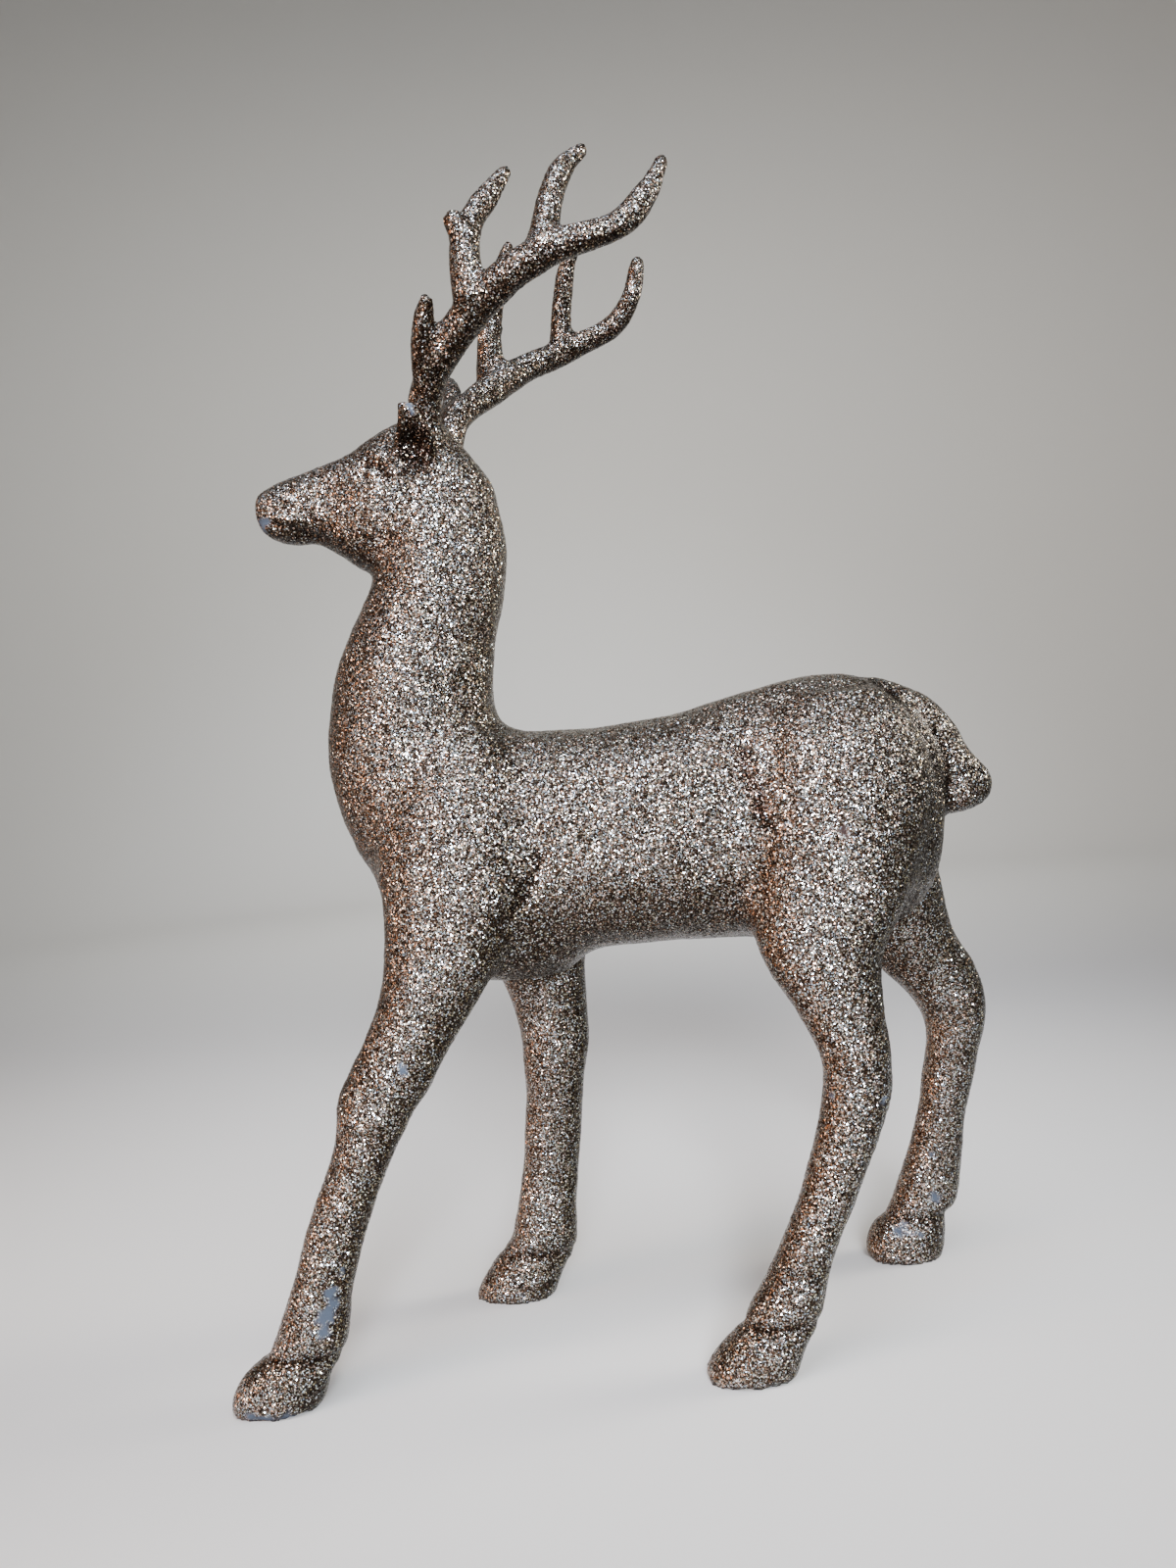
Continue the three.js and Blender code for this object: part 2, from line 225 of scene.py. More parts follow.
# Tail: height, front, rear, and the share of its half width
tail = easeRows([
    [42.9, 29.5, 32.2, 0.55],
    [43.5, 28.8, 34.2, 0.85],
    [44.6, 28.2, 35.1, 0.95],
    [46.2, 27.8, 34.9, 1.00],
    [48.4, 27.4, 33.3, 1.00],
    [51.0, 26.4, 32.1, 0.98],
    [53.2, 24.6, 30.1, 0.90],
    [54.5, 23.0, 27.8, 0.78],
    [55.2, 21.8, 26.0, 0.55],
], slices["body"]).T
shells.append(levelSkin(
    *tail[:3] * hundredth, 0 * tail[0], tail[3] * figure["tailWidth"] / 2, sectionFullness["tail"],
    pointsRound["limb"]))

# Legs: the height of each level, how far it reaches towards the hoof's side, and its half width
# as shares of the hoof's, of the leg's, and of the shoulder's or the haunch's
legLevels = [0, 1, 2.5, 4, 5.5, 9, 14, 20, 24, 28, 32, 37, 44, 50, 54]
legReach = [1, 1, 0.99, 0.97, 0.95, 0.9, 0.82, 0.7, 0.62, 0.52, 0.4, 0.22, 0.06, -0.06, -0.25]
hoofShares = [1.0, 1.04, 0.98]
shinShares = [1.0, 1.1, 0.97, 0.95, 1.06, 1.24]
thighShares = {
    "front": [0.64, 0.78, 0.95, 1.0, 0.8, 0.35],
    "hind": [0.52, 0.68, 0.9, 1.0, 0.88, 0.5],
}
legs = {
    "leftFront": {
        "side": 1,
        "kind": "front",
        "fore": [-32.7, -32.7, -31.9, -30.0, -28.9, -27.5, -25.7, -23.3, -22.6, -20.5, -18.7,
                 -18.0, -18.0, -16.0, -13.0],
        "aft": [-25.8, -25.3, -24.8, -23.7, -23.2, -22.6, -21.0, -18.3, -15.5, -13.1, -10.1,
                -6.8, -4.5, -6.0, -9.0],
    },
    "rightFront": {
        "side": -1,
        "kind": "front",
        "fore": [-14.6, -14.3, -13.3, -12.2, -11.0, -9.9, -9.0, -8.3, -8.3, -8.9, -10.2,
                 -12.5, -16.0, -15.0, -12.0],
        "aft": [-7.4, -7.0, -6.2, -5.1, -4.8, -4.5, -3.8, -2.9, -2.2, -2.1, -1.8,
                -1.2, -2.5, -5.0, -8.5],
    },
    "leftHind": {
        "side": 1,
        "kind": "hind",
        "fore": [5.5, 5.7, 6.9, 8.5, 9.4, 11.8, 14.3, 16.5, 17.0, 15.5, 13.2, 12.3, 13.0,
                 14.0, 17.0],
        "aft": [12.5, 12.8, 13.5, 14.6, 15.1, 16.3, 18.9, 21.8, 22.5, 22.3, 22.7, 25.5, 28.0,
                28.0, 25.5],
    },
    "rightHind": {
        "side": -1,
        "kind": "hind",
        "fore": [23.3, 23.0, 23.5, 24.7, 25.9, 27.3, 28.8, 30.0, 29.6, 26.5, 23.3, 19.5, 15.5,
                 15.0, 17.5],
        "aft": [29.9, 30.2, 30.5, 30.7, 31.9, 32.6, 33.3, 34.8, 35.6, 34.7, 32.6, 31.5, 30.5,
                29.2, 25.5],
    },
}
for leg in legs.values():
    isFront = leg["kind"] == "front"
    rootOut = figure["shoulderSpacing" if isFront else "haunchSpacing"] / 2
    rootWidth = figure["shoulderWidth" if isFront else "haunchWidth"]
    soleOut = figure[leg["kind"] + "HoofSpacing"] / 2
    halfWidths = np.concatenate([
        np.array(hoofShares) * figure["hoofWidth"],
        np.array(shinShares) * figure["legWidth"],
        np.array(thighShares[leg["kind"]]) * rootWidth,
    ]) / 2
    up, fore, aft, out, halfWidth = easeRows(np.stack([
        np.array(legLevels) * hundredth,
        np.array(leg["fore"]) * hundredth,
        np.array(leg["aft"]) * hundredth,
        leg["side"] * (rootOut + np.array(legReach) * (soleOut - rootOut)),
        halfWidths,
    ], axis=1), slices["leg"]).T
    shells.append(levelSkin(
        up, fore, aft, out, halfWidth, sectionFullness["leg"], pointsRound["limb"]))

# Antlers: how far back the left one and the right one run, height, sideways as a share of the
# widest bow, and radius as a share of the root's radius
antlerRows = {
    "beam": [
        [-11.4, -10.3, 78.5, 0.20, 1.00],
        [-11.1, -9.4, 82.2, 0.36, 1.00],
        [-8.4, -6.6, 85.4, 0.62, 1.10],
        [-3.9, -2.8, 88.5, 0.88, 1.00],
        [0.6, 1.3, 90.4, 1.00, 0.88],
        [5.8, 5.8, 92.0, 0.95, 0.76],
        [8.3, 7.9, 94.5, 0.88, 0.68],
        [9.9, 8.7, 97.4, 0.83, 0.40],
    ],
    "browTine": [
        [-11.0, -10.2, 82.0, 0.38, 0.86],
        [-10.8, -9.9, 84.4, 0.58, 0.74],
        [-10.4, -9.9, 86.2, 0.72, 0.66],
        [-9.9, -10.2, 87.7, 0.85, 0.38],
    ],
    "longTine": [
        [-6.2, -6.1, 87.2, 0.82, 1.12],
        [-6.5, -6.0, 91.2, 0.81, 0.88],
        [-6.0, -5.4, 94.0, 0.75, 0.76],
        [-4.4, -4.4, 96.6, 0.67, 0.63],
        [-2.8, -3.4, 98.9, 0.60, 0.34],
    ],
    "stub": [
        [-6.2, -5.4, 91.8, 0.80, 0.66],
        [-7.1, -6.4, 94.0, 0.83, 0.56],
    ],
    "crownTine": [
        [-0.2, 0.9, 90.2, 0.99, 1.00],
        [0.3, 1.0, 93.0, 0.94, 0.80],
        [1.0, 1.5, 95.6, 0.87, 0.70],
        [2.1, 2.2, 98.0, 0.79, 0.58],
        [3.7, 3.2, 99.4, 0.75, 0.30],
    ],
}
for side, thickness in ((1, figure["leftBeamThickness"]), (-1, figure["rightBeamThickness"])):
    for rows in antlerRows.values():
        leftBack, rightBack, up, share, radius = easeRows(rows, slices["antler"]).T
        centres = np.stack([
            side * share * figure["antlerSpan"] / 2,
            (leftBack if side > 0 else rightBack) * hundredth,
            up * hundredth,
        ], axis=1)
        shells.append(tubeSkin(centres, radius * thickness / 2, pointsRound["antler"]))

# Ears: height, back, sideways as a share of the tip's reach, half the leaf's width
earRows = [
    [75.0, -12.9, 0.50, 0.6],
    [76.2, -12.6, 0.58, 1.6],
    [77.4, -12.4, 0.67, 1.9],
    [78.6, -12.2, 0.78, 1.6],
    [79.8, -12.4, 0.90, 1.0],
    [80.7, -12.6, 0.97, 0.75],
]
earUp, earBack, earReach, earHalf = easeRows(earRows, slices["ear"]).T
leafAcross, leafDeep = roundedSection(pointsRound["antler"], sectionFullness["round"])
for side in (1, -1):
    shells.append(np.stack([
        side * ((earReach * figure["earSpan"] / 2)[:, None]
                + figure["earThickness"] / 2 * leafAcross[None]),
        (earBack * hundredth)[:, None] + (earHalf * hundredth)[:, None] * leafDeep[None],
        (earUp * hundredth)[:, None]
        - figure["earLean"] * figure["earThickness"] / 2 * leafAcross[None],
    ], axis=-1))
print("lofts:", len(shells))


# Every loft becomes quads between neighbouring rings, with one flat face over each end.
def meshFromShells(shells):
    points = []
    faces = []
    first = 0
    for rings in shells:
        count, sides = rings.shape[:2]
        index = first + np.arange(count * sides).reshape(count, sides)
        turned = np.roll(index, -1, axis=1)
        quads = np.stack([index[:-1], turned[:-1], turned[1:], index[1:]], axis=-1).reshape(-1, 4)
        flat = rings.reshape(-1, 3)
        corners = flat[quads - first]
        volume = np.einsum("ij,ij->", corners[:, 0], np.cross(corners[:, 1], corners[:, 2])
                           + np.cross(corners[:, 2], corners[:, 3]))
        loops = quads.tolist() + [index[0][::-1].tolist(), index[-1].tolist()]
        faces += loops if volume > 0 else [face[::-1] for face in loops]
        points.append(flat)
        first += count * sides
    mesh = bpy.data.meshes.new("lofts")
    mesh.from_pydata(np.vstack(points).tolist(), [], faces)
    return mesh


lofts = bpy.data.objects.new("lofts", meshFromShells(shells))
bpy.context.scene.collection.objects.link(lofts)
joinLofts = lofts.modifiers.new("joinLofts", "REMESH")
joinLofts.mode = "VOXEL"
joinLofts.voxel_size = figure["meshSize"]
joined = lofts.evaluated_get(bpy.context.evaluated_depsgraph_get()).to_mesh()
points = np.empty(len(joined.vertices) * 3)
joined.vertices.foreach_get("co", points)
points = points.reshape(-1, 3)
quads = np.empty(len(joined.loops), int)
joined.loops.foreach_get("vertex_index", quads)
quads = quads.reshape(-1, 4)
edges = np.empty(len(joined.edges) * 2, int)
joined.edges.foreach_get("vertices", edges)
edgeFrom, edgeTo = edges.reshape(-1, 2).T
neighbours = np.bincount(edges, minlength=len(points))
allPoints = np.vstack([rings.reshape(-1, 3) for rings in shells])
middle = (allPoints.min(axis=0) + allPoints.max(axis=0)) / 2
bpy.data.objects.remove(lofts)
points[:, 1] -= middle[1]
print("joined:", len(points), "points,", len(quads), "quads")


# The mean of each point's neighbours
def neighbourMean(values):
    columns = values.reshape(len(points), -1).T
    total = np.stack([
        np.bincount(edgeFrom, column[edgeTo], len(points))
        + np.bincount(edgeTo, column[edgeFrom], len(points))
        for column in columns
    ], axis=1)
    return (total / neighbours[:, None]).reshape(values.shape)


# A point's normal is the sum over its quads of the cross product of their diagonals.
def pointNormals(points):
    corners = points[quads]
    cross = np.cross(corners[:, 2] - corners[:, 0], corners[:, 3] - corners[:, 1])
    total = np.stack([
        sum(np.bincount(quads[:, corner], cross[:, axis], len(points)) for corner in range(4))
        for axis in range(3)
    ], axis=1)
    return total / np.maximum(np.linalg.norm(total, axis=1, keepdims=True), 1e-12)


# Random numbers spread over the surface and averaged with their neighbours, then brought back to
# a spread of 1: more passes give broader patches.
def surfaceNoise(seed, passes):
    values = np.random.default_rng(seed).normal(size=len(points))
    for _ in range(passes):
        values = 0.5 * values + 0.5 * neighbourMean(values)
    return (values - values.mean()) / values.std()


# Creases fill up as they do in a mould: a point in a hollow moves to the mean of its neighbours,
# and a point on a bulge all but stays. How often depends on the height in metres: often on the
# body, seldom on the antlers and beside the tail.
filling = {
    "heights": [0.30, 0.345, 0.385, 0.40],
    "passes": [80, 19, 19, 12],
    "tailHeights": [0.245, 0.262],
    "tailPasses": [10, 25],
    "tailFrom": (0.10, 0.19),
    "tailHalfWidth": 0.02,
    "inHollows": 0.6,
    "onBulges": 0.024,
    "alongSurface": 0.3,
}
fillPasses = np.interp(points[:, 2], filling["heights"], filling["passes"])
tailRoot = (points[:, 1:] > filling["tailFrom"]).all(axis=1)
tailRoot &= np.abs(points[:, 0]) < filling["tailHalfWidth"]
fillPasses[tailRoot] = np.interp(
    points[tailRoot, 2], filling["tailHeights"], filling["tailPasses"])
for step in range(int(fillPasses.max())):
    normals = pointNormals(points)
    pull = neighbourMean(points) - points
    rise = np.einsum("ij,ij->i", pull, normals)[:, None]
    fill = np.where(rise > 0, filling["inHollows"], filling["onBulges"]) * rise * normals
    move = fill + filling["alongSurface"] * (pull - rise * normals)
    points += move * (step < fillPasses)[:, None]
print("creases filled")


# Turns hundredths of the height, and millimetres to the side, into a place in metres.
def place(back, up, out):
    return np.array([out * mm, back * hundredth - middle[1], up * hundredth])


# Carving: a bell-shaped push along the normal. Back, up, out (mm), reach along, reach across and
# reach sideways (mm), turn (degrees, nose up is positive) and push (mm)
carving = {
    "eyeHollow": [-16.0, 76.1, 20, 6.5, 4.2, 8, 30, -1.6],
    "eyeball": [-16.1, 75.85, 20, 2.9, 1.8, 8, 28, 2.4],
    "eyeCorner": [-15.0, 75.2, 19, 2.4, 1.3, 8, 30, -0.7],
    "brow": [-15.6, 77.25, 18, 5.5, 1.9, 9, 47, 1.5],
    "browTail": [-13.9, 75.6, 20, 4.5, 1.6, 9, 68, 0.7],
    "cheekRise": [-15.8, 73.9, 21, 5.0, 4.2, 9, 10, 0.8],
    "cheekHollow": [-19.5, 74.4, 15, 8.0, 4.0, 9, 10, -0.6],
    "jawMuscle": [-13.0, 71.3, 21, 9.0, 8.0, 10, 0, 0.8],
    "nostril": [-25.6, 74.5, 8, 1.8, 1.2, 6, 40, -0.9],
    "nostrilWing": [-24.7, 74.6, 10, 3.4, 2.4, 6, 20, 0.7],
    "underLip": [-22.6, 71.2, 12, 13.0, 3.0, 9, 19, -1.2],
    "lipEdge": [-24.0, 73.0, 11, 8.0, 1.7, 8, 18, 0.6],
    "earCup": [-12.4, 77.4, 25, 9.5, 6.2, 9, 85, -3.6],
    "shoulderMuscle": [-9.3, 41.8, 35, 17.0, 9.0, 14, 58, 1.3],
    "thighMuscle": [19.5, 49.5, 38, 22.0, 15.0, 16, 0, 0.9],
}
normals = pointNormals(points)
push = np.zeros(len(points))
for back, up, out, reachAlong, reachAcross, reachOut, turn, depth in carving.values():
    for side in (1, -1):
        offset = (points - place(back, up, side * out)) / mm
        facing = np.clip(side * normals[:, 0] * 2.5, 0, 1)
        turned = math.radians(turn)
        along = -offset[:, 1] * math.cos(turned) + offset[:, 2] * math.sin(turned)
        across = offset[:, 1] * math.sin(turned) + offset[:, 2] * math.cos(turned)
        bell = np.exp(-(along / reachAlong) ** 2 - (across / reachAcross) ** 2
                      - (offset[:, 0] / reachOut) ** 2)
        push += depth * mm * bell * facing
points += push[:, None] * normals


# Distance to a line through places given as back and up, on the side that it is seen from
def lineDistance(line):
    ends = np.array(line)
    start = np.column_stack([ends[:-1, 0] * hundredth - middle[1], ends[:-1, 1] * hundredth])
    end = np.column_stack([ends[1:, 0] * hundredth - middle[1], ends[1:, 1] * hundredth])
    nearest = np.full(len(points), np.inf)
    for a, b in zip(start, end):
        t = np.clip((points[:, 1:] - a) @ (b - a) / ((b - a) @ (b - a)), 0, 1)
        nearest = np.minimum(nearest, np.linalg.norm(points[:, 1:] - a - t[:, None] * (b - a), axis=1))
    return nearest


# Grooves, the same on both sides: line, width (mm) and depth (mm)
grooves = {
    "mouth": ([[-26.7, 72.9], [-25.4, 72.7], [-23.5, 72.1], [-21.6, 71.4]], 1.4, 0.8),
    "haunchFront": ([[12.4, 51.5], [13.2, 47.5], [14.0, 43.5]], 4.2, 0.7),
    "flankFold": ([[13.6, 39.5], [12.9, 36.5], [12.2, 34.0]], 5.0, 0.8),
    "shoulderBack": ([[-4.6, 42.5], [-5.6, 40.0], [-7.9, 37.3], [-9.5, 35.0]], 3.6, 0.9),
    "tailSide": ([[26.1, 53.8], [27.4, 51.7], [28.5, 49.3], [29.2, 46.8], [29.6, 44.5]],
                 2.0, 1.3),
    "tailTop": ([[23.6, 55.5], [24.6, 55.0], [26.1, 53.8]], 1.9, 0.6),
    "kneeCrease": ([[-22.9, 21.3], [-20.4, 21.1], [-18.2, 21.3]], 2.4, 0.6),
    "neckCord": ([[-7.4, 58.0], [-7.6, 53.5], [-6.0, 49.5]], 3.5, 0.6),
}
# The ring in which each leg meets its hoof
coronet = {
    "height": 4.2 * hundredth,
    "width": 2.3 * mm,
    "depth": 0.9 * mm,
}
# Slow, shallow unevenness of a moulded surface
unevenness = {
    "seed": 3,
    "passes": 44,
    "depth": 0.22 * mm,
}
normals = pointNormals(points)
push = np.zeros(len(points))
for line, width, depth in grooves.values():
    bell = np.exp(-(lineDistance(line) / (width * mm)) ** 2)
    for side in (1, -1):
        push -= depth * mm * bell * np.clip(side * normals[:, 0] * 2, 0, 1)
points += push[:, None] * normals
ring = np.exp(-((points[:, 2] - coronet["height"]) / coronet["width"]) ** 2)
points -= (coronet["depth"] * ring)[:, None] * normals
uneven = unevenness["depth"] * surfaceNoise(unevenness["seed"], unevenness["passes"])
points += uneven[:, None] * normals
print("carving done")

# Bare plastic where the glitter has come off: back, up, out, half length, half width (mm), turn
chips = {
    "shinChip": [-24.3, 7.7, 51, 6.6, 2.2, -70],
    "shinChipTop": [-23.8, 9.4, 50, 3.0, 2.0, -60],
    "shinChipHigh": [-23.1, 10.8, 50, 2.0, 1.1, -70],
    "shinChipFoot": [-24.7, 6.4, 52, 2.6, 2.8, -60],
    "soleRim": [-29.3, 0.3, 53, 11.0, 1.1, 2],
    "muzzleChip": [-26.1, 73.1, 8, 2.2, 1.1, 10],
    "lipChip": [-26.5, 72.4, 5, 1.0, 0.9, 0],
    "earTipChip": [-12.2, 80.3, 32, 2.8, 0.8, 75],
    "farHoofChip": [26.6, 3.0, -32, 4.2, 3.0, 60],
    "farFetlockChip": [29.6, 6.1, -34, 2.4, 1.6, 40],
    "farShinChip": [29.3, 10.3, -36, 1.1, 1.3, 0],
    "hockChip": [21.2, 20.9, 42, 1.7, 1.7, 60],
    "hockChipFront": [17.3, 21.5, 44, 0.9, 1.2, 0],
    "forearmChip": [-16.9, 26.5, 40, 1.4, 1.3, 40],
}
flankSpot = [19.55, 42.55, 44, 3.1, 2.1, 5]
# The ear's hollow painted dark: painted shade inside the ear
earShadeOval = [-12.4, 77.3, 24, 7.6, 9.6, 0]
ovals = {
    "grainSeed": 5,
    "grainPasses": 2,
    "ragged": 0.35,
    "smooth": 0.12,
    "reachSideways": 12,            # mm
    "rimSharpness": 3,
}
grain = surfaceNoise(ovals["grainSeed"], ovals["grainPasses"])


# 1 inside an oval with a ragged rim, 0 outside
def raggedOval(back, up, out, halfLength, halfWidth, turn, ragged=ovals["ragged"]):
    offset = (points - place(back, up, out)) / mm
    turned = math.radians(turn)
    along = -offset[:, 1] * math.cos(turned) + offset[:, 2] * math.sin(turned)
    across = offset[:, 1] * math.sin(turned) + offset[:, 2] * math.cos(turned)
    reach = np.sqrt((along / halfLength) ** 2 + (across / halfWidth) ** 2
                    + (offset[:, 0] / ovals["reachSideways"]) ** 2)
    return np.clip((1 + ragged * grain - reach) * ovals["rimSharpness"] + 0.5, 0, 1)


bare = np.max([raggedOval(*chip) for chip in chips.values()], axis=0)
spot = raggedOval(*flankSpot)

# Painted coppery shade along the front of the left haunch
haunchShadeBand = {
    "line": [[12.6, 49.2], [13.2, 46.9], [13.8, 44.6]],
    "width": 3.6 * mm,
}
haunchShade = np.exp(-(lineDistance(haunchShadeBand["line"]) / haunchShadeBand["width"]) ** 2) * (points[:, 0] > 0)

# Painted light and shade by place, each from 0 to 1: painted shade in hollows, in the ear and along
# the tail's lines, painted highlights on crests below the neck's top, painted warm light on faces
# towards the nose, and painted shade on faces towards the tail, the ground and away from the sides
paintedLightAndShade = {
    "passes": 4,
    "hollowDepth": 0.083 * mm,
    "hollowFrom": 0.2,
    "crestHeight": 0.124 * mm,
    "crestFrom": 0.25,
    "crestsUpTo": 0.365,
    "ear": 0.75,
    "tailLines": 0.6,
    "tailLineWidth": 2.2 * mm,
    "shadeHeights": [0.2, 0.3],
    "shadeShares": [1, 0.3],
}
normals = pointNormals(points)
bend = np.einsum("ij,ij->i", neighbourMean(points) - points, normals)
for _ in range(paintedLightAndShade["passes"]):
    bend = 0.5 * bend + 0.5 * neighbourMean(bend)
# Painted shade in creases and recesses, where the surface bends inwards
hollow = np.clip(bend / paintedLightAndShade["hollowDepth"] - paintedLightAndShade["hollowFrom"], 0, 1)
# Painted shade inside the left ear
inEarShade = raggedOval(*earShadeOval, ovals["smooth"]) * (normals[:, 0] > 0)
hollow = np.maximum(hollow, paintedLightAndShade["ear"] * inEarShade)
# Painted shadow lines along the tail's top and side
for name in ("tailTop", "tailSide"):
    onLine = np.exp(-(lineDistance(grooves[name][0]) / paintedLightAndShade["tailLineWidth"]) ** 2)
    hollow = np.maximum(hollow, paintedLightAndShade["tailLines"] * onLine)
# Painted highlights on crests below the neck's top
crest = np.clip(-bend / paintedLightAndShade["crestHeight"] - paintedLightAndShade["crestFrom"], 0, 1)
crest *= points[:, 2] < paintedLightAndShade["crestsUpTo"]
# Painted warm light on faces towards the nose
noseSideWarmLight = np.clip(-normals[:, 1], 0, 1)
# Painted shade on faces towards the tail, strongest low down on the legs
shade = np.clip(normals[:, 1], 0, 1)
shade *= np.interp(points[:, 2], paintedLightAndShade["shadeHeights"], paintedLightAndShade["shadeShares"])
# Painted shade on faces towards the ground
under = np.clip(-normals[:, 2], 0, 1) ** 2
# Painted warm shade on faces turned away from the sides
edgeWarmShade = (1 - np.abs(normals[:, 0])) ** 1.3

# Glitter coat: each point is knocked about, so that every small face tilts like a flake.
flakes = {
    "seed": 11,
    "lift": 0.07 * mm,
    "slide": 0.35 * mm,
    "coat": 0.5 * mm,
}
# The soles stay flat on the ground, and no flake stands far above the figure's height.
limits = {
    "soleDepth": 0.5 * mm,
    "topClearance": 1 * mm,
}
random = np.random.default_rng(flakes["seed"])
lift = random.normal(size=len(points)) * flakes["lift"]
slide = random.uniform(-1, 1, (len(points), 3)) * flakes["slide"]
slide -= np.einsum("ij,ij->i", slide, normals)[:, None] * normals
bald = np.maximum(bare, spot)
glittered = (1 - bald)[:, None]
points += glittered * ((flakes["coat"] + lift)[:, None] * normals + slide)
sole = points[:, 2] < limits["soleDepth"]
points[sole, 2] = 0
points[:, 2] = np.clip(points[:, 2], 0, cadBox[1][2] + limits["topClearance"])
swap = random.random(len(quads)) < 0.5
halves = np.where(
    swap[:, None, None],
    quads[:, [[0, 1, 2], [0, 2, 3]]],
    quads[:, [[0, 1, 3], [1, 2, 3]]],
).reshape(-1, 3)
mesh = bpy.data.meshes.new("reindeer_figure")
mesh.from_pydata(points.tolist(), [], halves.tolist())
mesh.shade_smooth()
pointValues = {
    "bare": bare,
    "spot": spot,
    "haunchShade": haunchShade,
    "noseSideWarmLight": noseSideWarmLight,
    "shade": shade,
    "under": under,
    "edgeWarmShade": edgeWarmShade,
    "bald": bald,
    "hollow": hollow,
    "crest": crest,
}
for name, values in pointValues.items():
    attribute = mesh.attributes.new(name, "FLOAT", "POINT")
    attribute.data.foreach_set("value", values.astype(np.float32))
reindeer = bpy.data.objects.new("reindeer_figure", mesh)
bpy.context.scene.collection.objects.link(reindeer)
print("figure:", len(halves), "faces")


# sRGB hex to the linear colour that the shader takes
def linear(hexColour):
    channels = [int(hexColour[i:i + 2], 16) / 255 for i in (1, 3, 5)]
    return [*(c / 12.92 if c <= 0.04045 else ((c + 0.055) / 1.055) ** 2.4 for c in channels), 1]


# Adds a node with its settings and its input values or links.
def addNode(tree, kind, settings=None, **inputs):
    node = tree.nodes.new("ShaderNode" + kind)
    for key, value in (settings or {}).items():
        setattr(node, key, value)
    for key, value in inputs.items():
        socket = node.inputs[int(key[1:])] if key[0] == "i" and key[1:].isdigit() else node.inputs[key]
        if isinstance(value, bpy.types.NodeSocket):
            tree.links.new(value, socket)
        else:
            socket.default_value = value
    return node


# Champagne polyester glitter, hexagons under 1 mm glued to moulded grey plastic. Each flake is a tiny
# mirror with its own tilt, and each flake's colour is also painted at random from near black to near
# white: painted glints that flash white beside neighbours that stay brown.
glitter = {
    "flakeSize": 0.46 * mm,         # about as fine as the render can show
    "tilt": 0.84,
    "roughness": (0.1, 0.32),       # from flake to flake
    "baldRoughness": 0.65,          # added where the plastic is bare
    "metal": 0.9,
    "specular": 0.3,
    "hueSpread": 0.62,
    "hueStart": 0.18,
    "hueLean": 0.26,
    "ramps": {
        # bright: painted glints, each flake's colour from near black to near white
        "bright": [(0.0, "#17100b"), (0.42, "#47392d"), (0.62, "#7c6e60"), (0.79, "#afa99f"),
                   (0.92, "#e2e6e6"), (1.0, "#fbfcfa")],
        "hue": [(0.0, "#c69272"), (0.12, "#dcb596"), (0.24, "#f0d2c2"), (0.36, "#f2e6ec"),
                (0.48, "#e2f0ee"), (0.62, "#cde0fa"), (0.78, "#ece8cf"), (1.0, "#bfb284")],
    },
    # Powers of painted shade: how strongly each painted value makes flakes darker; the crests'
    # negative power paints highlights
    "fewer": {"under": 4.5, "shade": 2.8, "noseSideWarmLight": 0.2, "hollow": 4.0, "crest": -0.4},
    # Tints: painted warm shade away from the sides, painted warm light towards the nose, painted shade
    # underneath, in front of the left haunch and in hollows; the dark flank spot and the bare plastic
    # are real marks
    "tints": [("edgeWarmShade", 0.9, "MULTIPLY", "#f6e6c9"), ("noseSideWarmLight", 0.4, "MULTIPLY", "#f0dccf"),
              ("under", 0.6, "MULTIPLY", "#b8a290"), ("haunchShade", 0.6, "MULTIPLY", "#b0806a"),
              ("hollow", 0.6, "MULTIPLY", "#b0947c"), ("spot", 1.0, "MIX", "#24130e"),
              ("bare", 1.0, "MIX", "#3d4551")],
}
finish = bpy.data.materials.new("champagne glitter on moulded plastic")
finish.use_nodes = True
tree = finish.node_tree
tree.nodes.clear()
coords = addNode(tree, "TexCoord")
cells = addNode(tree, "TexVoronoi", {"feature": "F1"}, Vector=coords.outputs["Object"],
                Scale=1 / glitter["flakeSize"])
chance = addNode(tree, "TexWhiteNoise", {"noise_dimensions": "3D"}, Vector=cells.outputs["Position"])
split = addNode(tree, "SeparateColor", Color=chance.outputs["Color"])
painted = {}
for name in pointValues:
    painted[name] = addNode(tree, "Attribute", {"attribute_name": name}).outputs["Fac"]

# Painted coloured light: a flake's colour leans towards copper on the nose side as painted warm light,
# and towards olive on the tail side as painted shade
turning = addNode(tree, "Math", {"operation": "SUBTRACT"}, i0=painted["shade"], i1=painted["noseSideWarmLight"])
shifted = addNode(tree, "Math", {"operation": "MULTIPLY_ADD"}, i0=turning.outputs[0],
                  i1=glitter["hueLean"], i2=glitter["hueStart"])
hue = addNode(tree, "Math", {"operation": "MULTIPLY_ADD", "use_clamp": True},
              i0=split.outputs["Green"], i1=glitter["hueSpread"], i2=shifted.outputs[0])

